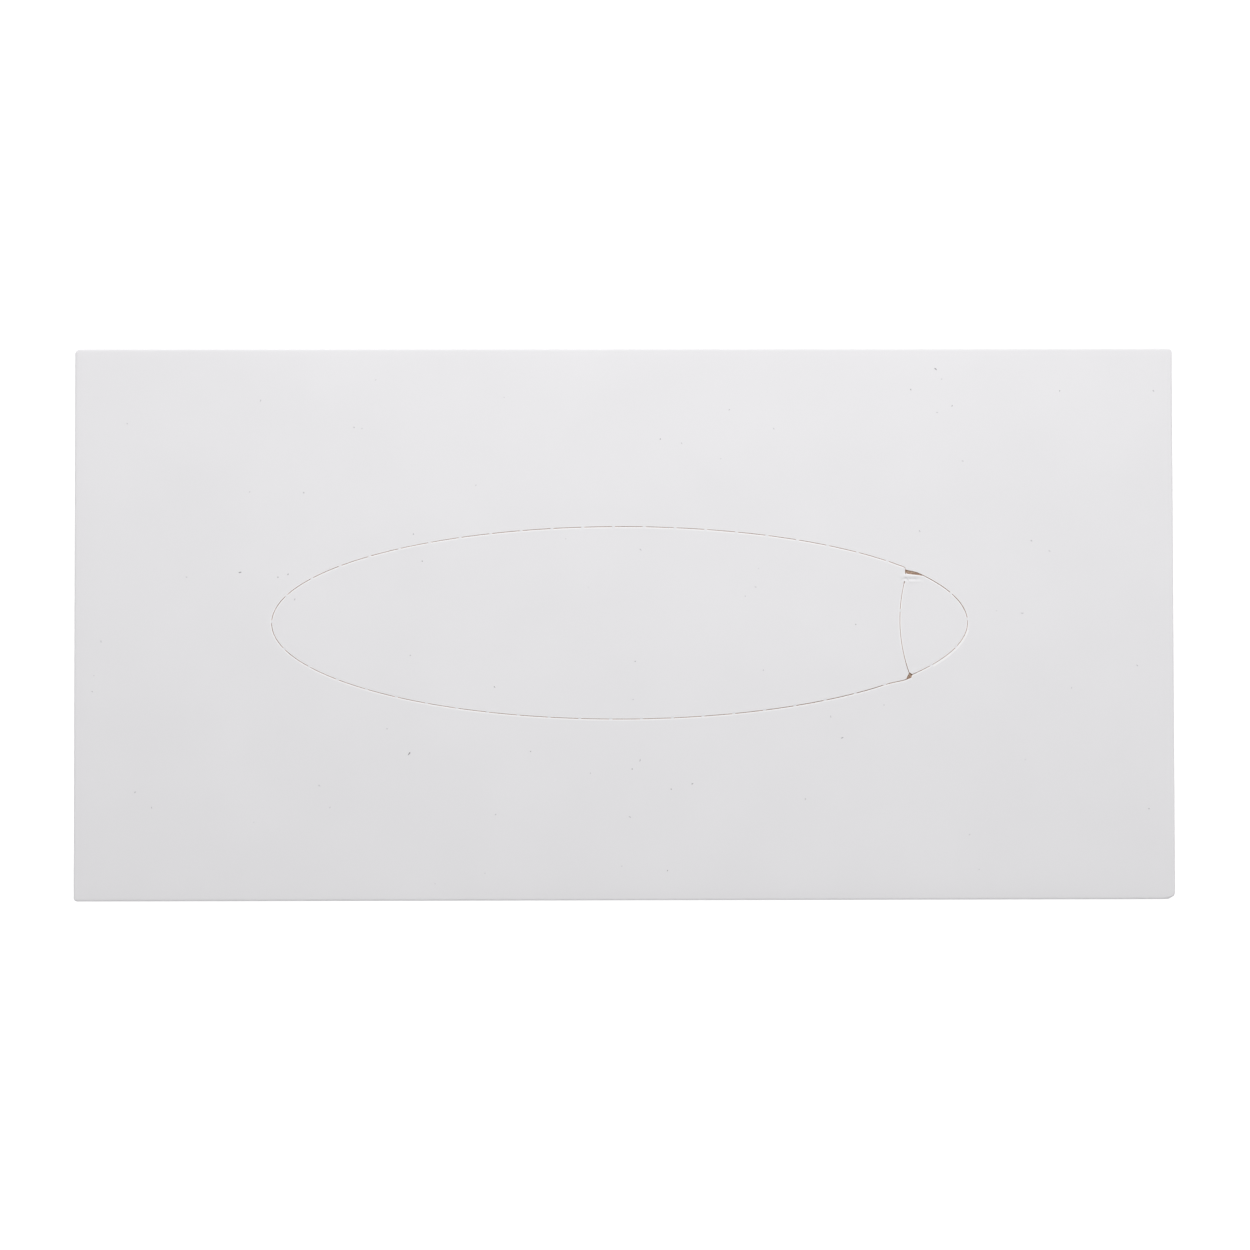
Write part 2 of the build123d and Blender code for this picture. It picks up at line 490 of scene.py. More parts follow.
def coons_patch(ring, counts):
    """Grid inside a ring: the two ruled surfaces between facing runs, less the
    bilinear one through the corners. Its two shares depend on each other, and
    three passes settle them."""
    front, right, back, left = ring_sides(ring, counts)
    front_share, back_share = way_shares(front)[:, None], way_shares(back)[:, None]
    left_share, right_share = way_shares(left)[None], way_shares(right)[None]
    v = (left_share + right_share) / 2
    for _ in range(3):
        u = (1 - v) * front_share + v * back_share
        v = (1 - u) * left_share + u * right_share
    u, v = u[..., None], v[..., None]
    across = (1 - v) * front[:, None] + v * back[:, None]
    along = (1 - u) * left[None] + u * right[None]
    corners = (1 - u) * (1 - v) * front[0] + u * (1 - v) * front[-1]
    corners = corners + (1 - u) * v * back[0] + u * v * back[-1]
    return across + along - corners


def patch_index(ring_start, inner_start, counts):
    """Vertex numbers of a patch: its rim is a ring, its inside follows on."""
    long_count, short_count = counts
    ring = ring_start + np.arange(2 * (long_count + short_count))
    index = np.empty((long_count + 1, short_count + 1), int)
    front, right, back, left = (side[:, 0] for side in ring_sides(ring[:, None], counts))
    index[:, 0], index[:, -1] = front, back
    index[0, :], index[-1, :] = left, right
    inside = np.arange((long_count - 1) * (short_count - 1))
    index[1:-1, 1:-1] = inner_start + inside.reshape(long_count - 1, short_count - 1)
    return index


def patch_faces(index, upwards):
    """Quads of a patch, wound to face up or down."""
    quads = np.stack([index[:-1, :-1], index[1:, :-1], index[1:, 1:], index[:-1, 1:]], -1)
    quads = quads.reshape(-1, 4)
    return quads if upwards else quads[:, ::-1]


def at_height(outline, height):
    """Ring of three-dimensional points from an outline and its heights."""
    return np.column_stack([outline, np.broadcast_to(height, len(outline))])


def closed_skin(rings, counts, start_height, end_height):
    """Points, quads and finishes of a closed skin: a start patch, a band of
    quads between each two rings, and an end patch that faces down. Each ring
    comes with the finish of the band or patch that leads to it."""
    rings, finishes = zip(*rings)
    rings = np.array(rings)
    ring_count, total = rings.shape[:2]
    finishes = np.array([np.broadcast_to(finish, total) for finish in finishes])
    insides = []
    for ring, height in ((rings[0], start_height), (rings[-1], end_height)):
        inside = coons_patch(ring[:, :2], counts)[1:-1, 1:-1].reshape(-1, 2)
        insides.append(np.column_stack([inside, height(*inside.T)]))
    points = np.vstack([rings.reshape(-1, 3), *insides])
    inner_start = ring_count * total
    index = np.arange(inner_start).reshape(ring_count, total)
    following = np.roll(index, -1, axis=1)
    bands = np.stack([index[1:], following[1:], following[:-1], index[:-1]], -1).reshape(-1, 4)
    first_index = patch_index(0, inner_start, counts)
    last_index = patch_index(inner_start - total, inner_start + len(insides[0]), counts)
    first, last = patch_faces(first_index, True), patch_faces(last_index, False)
    finish = np.concatenate(
        [
            finishes[1:].ravel(),
            np.full(len(first), finishes[0, 0]),
            np.full(len(last), finishes[-1, 0]),
        ]
    )
    return points, np.vstack([bands, first, last]), finish


def make_piece(name, points, faces, finish, materials):
    """Mesh object of these points (mm), listed faces and finish of each face."""
    mesh = bpy.data.meshes.new(name)
    mesh.from_pydata(points * MM, [], faces)
    mesh.polygons.foreach_set("material_index", np.asarray(finish, np.int32))
    mesh.shade_smooth()
    mesh.set_sharp_from_angle(angle=math.radians(SHARP_ANGLE))
    piece = bpy.data.objects.new(name, mesh)
    bpy.context.scene.collection.objects.link(piece)
    for material in materials:
        mesh.materials.append(material)
    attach(piece, BODY)
    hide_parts(NODE)


# Materials


def linear(hex_colour):
    """Linear RGBA of an sRGB hex colour."""
    channels = np.array([int(hex_colour[i : i + 2], 16) for i in (0, 2, 4)]) / 255
    low_part = channels / 12.92
    high_part = ((channels + 0.055) / 1.055) ** 2.4
    return (*np.where(channels <= 0.04045, low_part, high_part), 1.0)


def add_node(tree, kind, settings, links):
    """Adds a node, sets its properties and sockets, and links its inputs."""
    node = tree.nodes.new(kind)
    for name, value in settings.items():
        if hasattr(node, name):
            setattr(node, name, value)
        else:
            node.inputs[name].default_value = value
    for name, source in links.items():
        tree.links.new(source, node.inputs[name])
    return node


def new_material(name):
    """Empty node material with its shader, and the shader's tree."""
    material = bpy.data.materials.new(name)
    material.use_nodes = True
    tree = material.node_tree
    return material, tree, tree.nodes["Principled BSDF"]


def finish_board(tree, shader, tone, stops, relief, settings):
    """Colours a board's shader by two stops of a tone, sets its bump from the
    relief, and sets its other sockets."""
    for stop, (position, colour) in zip(tone.color_ramp.elements, stops):
        stop.position = position
        stop.color = linear(colour)
    tree.links.new(tone.outputs["Color"], shader.inputs["Base Color"])
    tree.links.new(relief.outputs["Normal"], shader.inputs["Normal"])
    for socket, value in settings.items():
        shader.inputs[socket].default_value = value


def coated_boxboard(name, dark, light):
    """White clay-coated boxboard, calendered smooth: a soft satin white with a
    faint cloudy tone, and a fine tooth from the fibres under the coating."""
    material, tree, shader = new_material(name)
    place = add_node(tree, "ShaderNodeTexCoord", {}, {}).outputs["Object"]
    cloud_size = 18.0 * MM
    fibre_size = 0.45 * MM
    cloud = add_node(
        tree,
        "ShaderNodeTexNoise",
        {"Scale": 1 / cloud_size, "Detail": 3.0, "Roughness": 0.5},
        {"Vector": place},
    )
    fibre = add_node(
        tree,
        "ShaderNodeTexNoise",
        {"Scale": 1 / fibre_size, "Detail": 3.0, "Roughness": 0.6},
        {"Vector": place},
    )
    tone = add_node(tree, "ShaderNodeValToRGB", {}, {"Fac": cloud.outputs["Fac"]})
    relief = add_node(
        tree,
        "ShaderNodeBump",
        {"Strength": 0.12, "Distance": 0.02 * MM},
        {"Height": fibre.outputs["Fac"]},
    )
    gloss = {"Roughness": 0.62, "IOR": 1.5, "Specular IOR Level": 0.35}
    finish_board(tree, shader, tone, ((0.3, dark), (0.7, light)), relief, gloss)
    return material


def bare_board(name, dark, light, fibre_size, roughness, relief_depth):
    """Uncoated fibres of a board: two tones in short coarse fibres, no gloss."""
    material, tree, shader = new_material(name)
    place = add_node(tree, "ShaderNodeTexCoord", {}, {}).outputs["Object"]
    fibre = add_node(
        tree,
        "ShaderNodeTexNoise",
        {"Scale": 1 / fibre_size, "Detail": 4.0, "Roughness": 0.65},
        {"Vector": place},
    )
    tone = add_node(tree, "ShaderNodeValToRGB", {}, {"Fac": fibre.outputs["Fac"]})
    relief = add_node(
        tree,
        "ShaderNodeBump",
        {"Strength": 0.5, "Distance": relief_depth},
        {"Height": fibre.outputs["Fac"]},
    )
    gloss = {"Roughness": roughness, "Specular IOR Level": 0.2}
    finish_board(tree, shader, tone, ((0.35, dark), (0.65, light)), relief, gloss)
    return material


white_board = coated_boxboard("white_coated_boxboard", "E9E8EA", "EBEAEC")
# A whiter copy of the coating for the strip that the die rolls down beside a cut: a painted highlight
# on the rolled edge
rim_highlight_board = coated_boxboard("rim_highlight_coating", "F3F2F3", "F5F4F5")
# The die's knife leaves a clean edge of the unbleached core, a light warm tan
cut_edge = bare_board("die_cut_board_edge", "C9A89A", "DFC1B3", 0.4 * MM, 0.85, 0.01 * MM)
# Torn, the recycled core is a dull brown fluff with dark and light fibres
torn_core = bare_board("torn_board_core", "8F7462", "C4AC99", 0.35 * MM, 0.95, 0.08 * MM)
# Recycled fibres that show through the coating, a dull grey, and paler ones
speck_fibre = bare_board("grey_paper_fibre", "8E8B8F", "A5A2A6", 0.2 * MM, 0.8, 0.005 * MM)
pale_fibre = bare_board("pale_paper_fibre", "C2C0C4", "CFCDD1", 0.2 * MM, 0.8, 0.005 * MM)
BOARD_FINISHES = (white_board, cut_edge, torn_core, rim_highlight_board)


# The carton's skin

# Stations along an end, from its middle to the corner: close together where
# the outer flap's lower corner is rounded, and one past the flap's cut side
FLAP_SIDE = 0.06
ROUNDING = SETBACK_LINE - np.array([0.0, FLAP_SIDE, 0.25, 0.6, 1.1, 1.7, 2.3, 2.6])
MIDDLE_STEPS = SKIN_COUNTS[1] // 2 - (CORNER_STEPS + 1) - len(ROUNDING)
MIDDLE = np.linspace(0, ROUNDING[-1], MIDDLE_STEPS + 1)[:-1]
FLAP_STATIONS = np.concatenate([MIDDLE, ROUNDING[::-1], [SETBACK_LINE + FLAP_SIDE]])

# Stations that stay where they are when the others make room for a corner, and
# how far the last one keeps from it
STILL_REACH = 50.0
CORNER_GAP = 0.03

# Shares of a long side, close together near both of its ends
DENSE_END = np.array([0, 0.2, 0.5, 0.9, 1.4, 2.0, 2.8, 4.0]) / LENGTH
LONG_SHARES = stations([*DENSE_END, *(1 - DENSE_END)[::-1]], SKIN_COUNTS[0])

# Shares of the way from the oval's edge to the folds, close together near them
FIELD_SHARES = [*np.linspace(0, 0.9, 14)[1:], 0.93, 0.955, 0.975, 0.99, 1.0]

# Stretches beside the two tears where the skin's stations lie close together
FRONT_TEAR_STRETCH = (-1.5, 2.2)
FRONT_TEAR_STATIONS = 16
LIP_STATIONS = 14
LIP_STEP = 0.1

# A point within NEAR_FACE of a side's plane belongs to that side, and one
# within NEAR_PLANE lies on its flat part
NEAR_FACE = 0.5
NEAR_PLANE = 0.01

# Shifts that make the waviness of each side differ
LONG_SIDE_SHIFT = 40.0
END_SHIFT = 90.0

# Steps down the outer end flaps and down the inner ones
OUTER_FLAP_STEPS = 10
INNER_FLAP_STEPS = 8


def corner_arc(x, y, radii):
    """Quarter of an ellipse at a corner of the plan, from the long side to the
    end: each radius times one minus the sine, or one minus the cosine."""
    turn = np.linspace(0, np.pi / 2, CORNER_STEPS + 1)
    arc_x = x - np.sign(x) * radii[0] * (1 - np.sin(turn))
    arc_y = y - np.sign(y) * radii[1] * (1 - np.cos(turn))
    return np.column_stack([arc_x, arc_y])


def end_stations(limit):
    """The end's stations, those past STILL_REACH drawn together where that
    keeps the last one inside the limit."""
    last = FLAP_STATIONS[-1]
    new_last = min(last, limit - CORNER_GAP)
    return np.interp(FLAP_STATIONS, [0, STILL_REACH, last], [0, STILL_REACH, new_last])


def plan_ring(inset, corners, end_depth=0.0, corner_depth=0.0, back_depth=0.0):
    """Plan outline of the carton at one level, counter-clockwise from its
    front left corner: straight long sides, and ends that take in the rounded
    corners. Depths stand the ends, corners and back side in from the faces."""
    half_x, half_y = HALF_LENGTH - inset, HALF_WIDTH - inset
    front_y, back_y = -half_y, half_y - back_depth
    corner_x = half_x - corner_depth
    radii = np.maximum(np.array(corners) - inset, SMALLEST_CORNER)
    front_left, front_right, back_right, back_left = radii
    front_straight = end_stations(half_y - max(front_left[1], front_right[1]))
    back_straight = end_stations(half_y - max(back_left[1], back_right[1]))
    straight = np.concatenate([-front_straight[::-1], back_straight[1:]])
    on_flap = np.abs(straight) < SETBACK_LINE + FLAP_SIDE / 2
    end_x = np.where(on_flap, half_x - end_depth, corner_x)
    right = np.vstack(
        [
            corner_arc(corner_x, front_y, front_right),
            np.column_stack([end_x, straight]),
            corner_arc(corner_x, back_y, back_right)[::-1],
        ]
    )
    left = np.vstack(
        [
            corner_arc(-corner_x, back_y, back_left),
            np.column_stack([-end_x, straight])[::-1],
            corner_arc(-corner_x, front_y, front_left)[::-1],
        ]
    )
    shares = LONG_SHARES[1:-1, None]
    front = left[-1] + (right[0] - left[-1]) * shares
    back = right[-1] + (left[0] - right[-1]) * shares
    return np.vstack([left[-1:], front, right, back, left[:-1]])


def ripple_sides(points):
    """Draws the four side panels in by a share of SIDE_RIPPLE that follows two
    crossed sines and dies out at the folds and at the corners."""
    x, y, z = points.T
    rise = np.clip((z - SEAM_LIFT) / (PANEL_LEVEL - SLIT_START - SEAM_LIFT), 0, 1)
    up = np.sin(np.pi * rise) ** 2
    on_long = np.abs(y) > HALF_WIDTH - NEAR_FACE
    on_end = (np.abs(x) > HALF_LENGTH - NEAR_FACE) & ~on_long
    along_long = smooth((HALF_LENGTH - LONG_RIPPLE_START - np.abs(x)) / LONG_RIPPLE_GROWTH)
    along_end = smooth((HALF_WIDTH - END_RIPPLE_START - np.abs(y)) / END_RIPPLE_GROWTH)
    weight = up * np.where(on_long, along_long, np.where(on_end, along_end, 0))
    around = np.where(on_long, x + LONG_SIDE_SHIFT * np.sign(y), END_SHIFT * np.sign(x) + y)
    draw = SIDE_RIPPLE * weight * (1 + crossed_sines(around, z, SIDE_WAVES)) / 2
    x = np.where(on_end, x - np.sign(x) * draw, x)
    y = np.where(on_long, y - np.sign(y) * draw, y)
    return np.column_stack([x, y, z])


def crush_corner(points):
    """Knocks the front right top corner flat: what stands past a slanted plane
    is pushed back onto it, along the plane's inward normal."""
    along = np.array([-CRUSH_ALONG, 0, CRUSH_DOWN])
    across = np.array([0, CRUSH_ACROSS, CRUSH_DOWN])
    inwards = np.cross(along, across)
    inwards /= np.linalg.norm(inwards)
    foot = np.array([HALF_LENGTH, -HALF_WIDTH, PANEL_LEVEL - CRUSH_DOWN])
    past = np.clip((foot - points) @ inwards, 0, None)
    return points + past[:, None] * inwards


def recess_distances():
    """Arc lengths of the skin's points round the oval, from the front of its
    left tip, close together beside the front tear and the back tear's lip."""
    tear = oval_distance_at(FRONT_TEAR[1][0], -1)
    tear_start, tear_end = FRONT_TEAR_STRETCH
    near_tear = np.linspace(tear + tear_start, tear + tear_end, FRONT_TEAR_STATIONS)
    lip_start = oval_distance_at(BACK_TEAR[0][0], 1)
    near_lip = np.linspace(oval_distance_at(LIP_END, 1), lip_start, LIP_STATIONS)
    long_count, short_count = SKIN_COUNTS
    front_breaks = [OVAL_LEFT_TIP + SKIN_TIP_REACH, *near_tear, OVAL_ROUND - SKIN_TIP_REACH]
    front = stations(front_breaks, long_count)
    right = np.linspace(-SKIN_TIP_REACH, SKIN_TIP_REACH, short_count + 1)
    back_end = OVAL_LEFT_TIP - SKIN_TIP_REACH
    back = stations([SKIN_TIP_REACH, *near_lip, lip_start + LIP_STEP, back_end], long_count)
    left = OVAL_LEFT_TIP + right
    return np.concatenate([front[:-1], right[:-1], back[:-1], left[:-1]])


def panel_rings():
    """Rings from the recess's floor up the cut's outer wall, over its edge and
    across the top panel to the folds, each with its finish."""
    distance = recess_distances()
    edge = cut_half_width(distance) + flare(distance) - torn_lip(distance)
    around = np.mod(distance, OVAL_ROUND)
    # Along one stretch the painted highlight of the whiter coating reaches further from the cut
    wide_rim_highlight = (around > WIDE_RIM_HIGHLIGHT_STRETCH[0]) & (around < WIDE_RIM_HIGHLIGHT_STRETCH[1])
    wall = oval_point(distance, edge)
    rings = [(at_height(wall, top_height(*wall.T) - RECESS_DEPTH), CORE)]
    for reach, rise, _, finish in CUT_EDGE:
        if finish == WHITE and reach <= WIDE_RIM_HIGHLIGHT_REACH:
            finish = np.where(wide_rim_highlight, RIM_HIGHLIGHT, WHITE)
        outline = oval_point(distance, edge + reach)
        rings.append((at_height(outline, top_height(*outline.T) + rise), finish))
    field_start = outline
    field_end = plan_ring(TOP_FOLD_RADIUS, TOP_CORNERS)
    for share in FIELD_SHARES:
        outline = field_start + (field_end - field_start) * share
        rings.append((at_height(outline, top_height(*outline.T)), WHITE))
    return rings


def top_fold_rings(edge_level):
    """Rings down the top fold, a quarter circle that starts at the panel's
    edge, each with its finish."""
    rings = []
    for turn in np.linspace(0, np.pi / 2, TOP_FOLD_STEPS + 1)[1:]:
        outline = plan_ring(TOP_FOLD_RADIUS * (1 - math.sin(turn)), TOP_CORNERS)
        drop = TOP_FOLD_RADIUS * (1 - math.cos(turn))
        rings.append((at_height(outline, edge_level - drop), WHITE))
    return rings


def side_rings():
    """Rings down the four sides, each with its finish: below the top fold the
    end flaps stand clear of the corners, below their lower edges the inner
    flaps stand one board back, and at the seam so does the back side."""
    slit = PANEL_LEVEL - SLIT_START
    dust_flap = 2 * BOARD
    plan = plan_ring(0, UPRIGHT_CORNERS, 0, dust_flap)
    past = np.abs(plan[:, 1]) - (SETBACK_LINE - FLAP_CORNER_RADIUS)
    past = np.clip(past, 0, FLAP_CORNER_RADIUS)
    lift = FLAP_CORNER_RADIUS - np.sqrt(FLAP_CORNER_RADIUS**2 - past**2)
    on_flap = np.abs(plan[:, 0]) > HALF_LENGTH - BOARD
    flap_edge = FLAP_EDGE + np.where(on_flap, lift, 0)

    # Die-cut edges show the core: down both sides of the end flaps, along the
    # outer flaps' lower edges and along the back panel's edge at the seam
    next_on_flap = np.roll(on_flap, -1)
    on_back = plan[:, 1] > HALF_WIDTH - NEAR_PLANE
    flap_sides = np.where(on_flap != next_on_flap, CUT, WHITE)
    flap_foot = np.where(on_flap | next_on_flap, CUT, WHITE)
    seam_edge = np.where(on_back & np.roll(on_back, -1), CUT, flap_sides)

    # Height and finish of each ring where the end flaps are outer ones, where
    # they are inner ones, and where the back side stands in as well
    outer = [(slit - SLIT_LEDGE, WHITE)]
    for share in np.linspace(0, 1, OUTER_FLAP_STEPS + 1)[1:-1]:
        outer.append((slit + (flap_edge - slit) * share, flap_sides))
    outer.append((flap_edge + LEDGE, flap_sides))
    inner = [(flap_edge - LEDGE, flap_foot)]
    for share in np.linspace(0, 1, INNER_FLAP_STEPS + 1)[1:-1]:
        inner.append((flap_edge + (SEAM_LIFT - flap_edge) * share, flap_sides))
    inner.append((SEAM_LIFT + LEDGE, flap_sides))
    seam = [(SEAM_LIFT - LEDGE, seam_edge), (SLIT_START + LEDGE, flap_sides)]

    rings = [(at_height(plan_ring(0, TOP_CORNERS), slit + SLIT_LEDGE), WHITE)]
    for depths, levels in (
        ((0, dust_flap, 0), outer),
        ((BOARD, dust_flap, 0), inner),
        ((BOARD, dust_flap, BOARD), seam),
        ((BOARD, BOARD, BOARD), [(SLIT_START - LEDGE, WHITE)]),
    ):
        outline = plan_ring(0, UPRIGHT_CORNERS, *depths)
        rings += [(at_height(outline, height), finish) for height, finish in levels]
    return rings


def bottom_fold_rings():
    """Rings round the bottom fold, a quarter circle, each with its finish."""
    rings = []
    for turn in np.linspace(0, np.pi / 2, BOTTOM_FOLD_STEPS + 1):
        inset = FOLD_RADIUS * (1 - math.cos(turn))
        height = FOLD_RADIUS * (1 - math.sin(turn))
        outline = plan_ring(inset, UPRIGHT_CORNERS, BOARD, BOARD, BOARD)
        rings.append((at_height(outline, height), WHITE))
    return rings


def carton_skin():
    """Closed skin from the floor of the oval recess, up the cut's outer wall,
    over the top panel, round the folds, down the sides and under the bottom."""
    rings = panel_rings()
    edge_level = rings[-1][0][:, 2]
    rings += top_fold_rings(edge_level) + side_rings() + bottom_fold_rings()
    points, quads, finish = closed_skin(
        rings,
        SKIN_COUNTS,
        lambda x, y: top_height(x, y) - RECESS_DEPTH,
        lambda x, y: np.zeros_like(x),
    )
    points = crush_corner(ripple_sides(points))
    make_piece("carton_skin", points, quads.tolist(), finish, BOARD_FINISHES)


# The slabs that lie in the oval recess


def outward(ring):
    """Unit normals of a closed outline, from the two edges at each point."""
    before = ring - np.roll(ring, 1, axis=0)
    after = np.roll(ring, -1, axis=0) - ring
    before = before / np.linalg.norm(before, axis=1, keepdims=True)
    after = after / np.linalg.norm(after, axis=1, keepdims=True)
    along = before + after
    along /= np.linalg.norm(along, axis=1, keepdims=True)
    return np.column_stack([along[:, 1], -along[:, 0]])


def inset_ring(ring, depth, heart):
    """Outline moved inwards, each point towards the nearest point of the heart
    box, by the depth over the slant of that way. The slant is averaged over
    neighbours, so that the ways never cross at a corner."""
    towards = np.clip(ring, *heart) - ring
    towards /= np.linalg.norm(towards, axis=1, keepdims=True)
    slant = np.clip(-(towards * outward(ring)).sum(1), SMALLEST_SLANT, 1)
    wrapped = np.concatenate([slant[-SLANT_NEIGHBOURS:], slant, slant[:SLANT_NEIGHBOURS]])
    window = 2 * SLANT_NEIGHBOURS + 1
    slant = np.convolve(wrapped, np.ones(window) / window, "valid")
    return ring + towards * (depth / slant)[:, None]


def board_slab(name, ring, held, reach, counts, heart):
    """Slab of board with its top edge rolled down, but for the places where it
    is held, and with teeth that reach out across the cut at the nicks."""
    rings = []
    # The rolled top edge takes the finishes of CUT_EDGE, whose whiter strip is a painted highlight
    bands = [WHITE] + [finish for *_, finish in CUT_EDGE[:0:-1]]
    for (depth, rise, kept, _), band in zip(CUT_EDGE[::-1], bands):
        outline = inset_ring(ring, depth, heart) if depth else ring
        height = slab_height(*outline.T) + rise * (1 - held * (1 - kept))
        rings.append((at_height(outline, height), np.where(held > 0.5, WHITE, band)))
    toothed = ring + outward(ring) * reach[:, None]
    tooth_height = height + NICK_LIFT * held - UPPER_RIM_GAP
    underside = slab_height(*ring.T) - BOARD
    rings.append((at_height(toothed, tooth_height), np.where(held > 0.5, WHITE, CUT)))
    rings.append((at_height(toothed, underside), CUT))
    rings.append((at_height(ring, underside - LOWER_RIM_GAP), CUT))
    points, quads, finish = closed_skin(
        rings,
        counts,
        slab_height,
        lambda x, y: slab_height(x, y) - BOARD - LOWER_RIM_GAP,
    )
    make_piece(name, points, quads.tolist(), finish, BOARD_FINISHES)


def main_edge(y):
    """X of the tear-out panel's right edge at y: the tab's inner cut, bitten
    back at the two tears."""
    line = tab_line(y, -tab_gap(y))
    (_, tip_y), (foot_x, foot_y), _ = FRONT_TEAR
    front_bite = (tab_line(foot_y, 0.0) - foot_x) * smooth((tip_y - y) / (tip_y - foot_y))
    back_share = smooth((y - BACK_BITE_START_Y) / (BACK_BITE_END_Y - BACK_BITE_START_Y))
    return line - front_bite - (line - BACK_TEAR[0][0]) * back_share


def tear_out_panel():
    """The oval's main panel: the oval up to the tab's inner cut."""
    long_count, short_count = PANEL_COUNTS
    steps = np.arange(-MAIN_NICKS_EACH_SIDE, MAIN_NICKS_EACH_SIDE + 1)
    nicks = OVAL_LEFT_TIP + MAIN_NICK_SHIFT + MAIN_NICK_PITCH * steps
    front_end = oval_distance_at(FRONT_TEAR[1][0], -1)
    back_start = oval_distance_at(BACK_TEAR[0][0], 1)
    left_start, left_end = OVAL_LEFT_TIP - PANEL_TIP_REACH, OVAL_LEFT_TIP + PANEL_TIP_REACH
    front = nick_stations(nicks, left_end, front_end, long_count)
    back = nick_stations(nicks, back_start, left_start, long_count)
    left = nick_stations(nicks, left_start, left_end, short_count)
    front_run = oval_point(front, flare(front) - cut_half_width(front))
    back_run = oval_point(back, -cut_half_width(back))
    left_run = oval_point(left, -cut_half_width(left))
    right_breaks = [
        front_run[-1, 1],
        FRONT_TEAR[0][1],
        0.0,
        BRIDGE_BOTTOM_Y,
        BACK_BITE_START_Y,
        BACK_BITE_END_Y,
        back_run[0, 1],
    ]
    right = stations(right_breaks, short_count)
    right_run = np.column_stack([main_edge(right), right])
    ring = np.vstack([run[:-1] for run in (front_run, right_run, back_run, left_run)])

    front_nicks, back_nicks, left_nicks = (nick_weight(run[:-1], nicks) for run in (front, back, left))
    bridge = smooth((right - BRIDGE_BOTTOM_Y) / BRIDGE_BOTTOM_FLANK)
    bridge *= smooth((BRIDGE_TOP_Y - right) / BRIDGE_TOP_FLANK)
    held = np.concatenate([front_nicks, bridge[:-1], back_nicks, left_nicks])
    on_nick = np.concatenate([front_nicks, np.zeros(short_count), back_nicks, left_nicks])
    board_slab("tear_out_panel", ring, held, NICK_REACH * on_nick, PANEL_COUNTS, PANEL_HEART)


def finger_tab():
    """The finger tab: from its inner cut to the oval's right tip."""
    long_count, short_count = TAB_COUNTS
    steps = np.arange(-TAB_NICKS_FRONT, TAB_NICKS_BACK + 1)
    nicks = TAB_NICK_SHIFT + TAB_NICK_PITCH * steps
    front_start = oval_distance_at(FRONT_TEAR[2][0], -1) - OVAL_ROUND
    back_end = oval_distance_at(BACK_TEAR[2][0], 1)
    front = nick_stations(nicks, front_start, -TAB_TIP_REACH, long_count)
    right = nick_stations(nicks, -TAB_TIP_REACH, TAB_TIP_REACH, short_count)
    back = nick_stations(nicks, TAB_TIP_REACH, back_end, long_count - TEAR_STEPS)
    front_run, right_run, back_run = (
        oval_point(run, -cut_half_width(run)) for run in (front, right, back)
    )
    corner = np.array([tab_line(BRIDGE_TOP_Y, tab_gap(BRIDGE_TOP_Y)), BRIDGE_TOP_Y])
    tear_run = back_run[-1] + (corner - back_run[-1]) * np.linspace(0, 1, TEAR_STEPS + 1)[:, None]
    tip_y = FRONT_TEAR[0][1]
    foot_x, foot_y = front_run[0]
    left_breaks = [
        BRIDGE_TOP_Y,
        BRIDGE_TOP_Y - BRIDGE_TOP_FLANK,
        BRIDGE_BOTTOM_Y + BRIDGE_BOTTOM_FLANK,
        BRIDGE_BOTTOM_Y,
        *(TAB_NICK_Y - nick_marks([0.0], -1, 1)),
        tip_y,
        foot_y,
    ]
    left = stations(left_breaks, short_count)
    slant = np.clip((tip_y - left) / (tip_y - foot_y), 0, 1)
    upright = np.maximum(left, tip_y)
    left_x = tab_line(upright, tab_gap(upright))
    left_run = np.column_stack([left_x + slant * (foot_x - left_x), left])
    ring = np.vstack([run[:-1] for run in (front_run, right_run, back_run, tear_run, left_run)])

    bridge = smooth((left - BRIDGE_BOTTOM_Y) / BRIDGE_BOTTOM_FLANK)
    left_held = np.maximum(bridge, nick_weight(left, [TAB_NICK_Y]))
    oval_held = nick_weight(np.concatenate([front[:-1], right[:-1], back[:-1]]), nicks)
    held = np.concatenate([oval_held, np.zeros(TEAR_STEPS), left_held[:-1]])
    board_slab("finger_tab", ring, held, NICK_REACH * held, TAB_COUNTS, TAB_HEART)


def torn_patch(name, low_line, high_line, along, swap):
    """Torn core that fills a tear: rows between two lines, with a rough top
    just under the coating and a flat underside, closed all round. The rows
    run across y, or across x where swap is set."""
    across = np.linspace(0, 1, TORN_COLUMNS)[None, :]
    start, end = low_line[:, None], high_line[:, None]
    b = start + (end - start) * across
    a = np.broadcast_to(along[:, None], b.shape)
    x, y = (b, a) if swap else (a, b)
    rough = TORN_ROUGHNESS * crossed_sines(x, y, TORN_WAVES)
    upper = np.stack([x, y, top_height(x, y) - TORN_DEPTH + rough], -1)
    lower = np.stack([x, y, top_height(x, y) - BOARD - TORN_UNDERSIDE_GAP], -1)
    points = np.vstack([upper.reshape(-1, 3), lower.reshape(-1, 3)])
    index = np.arange(x.size).reshape(x.shape)
    under = index + x.size
    rim = np.concatenate([index[:-1, 0], index[-1, :-1], index[:0:-1, -1], index[0, :0:-1]])
    following = np.roll(rim, -1)
    wall = np.stack([rim, rim + x.size, following + x.size, following], -1)
    quads = np.vstack([patch_faces(index, True), patch_faces(under, False), wall])
    make_piece(name, points, quads.tolist(), np.full(len(quads), CORE), BOARD_FINISHES)


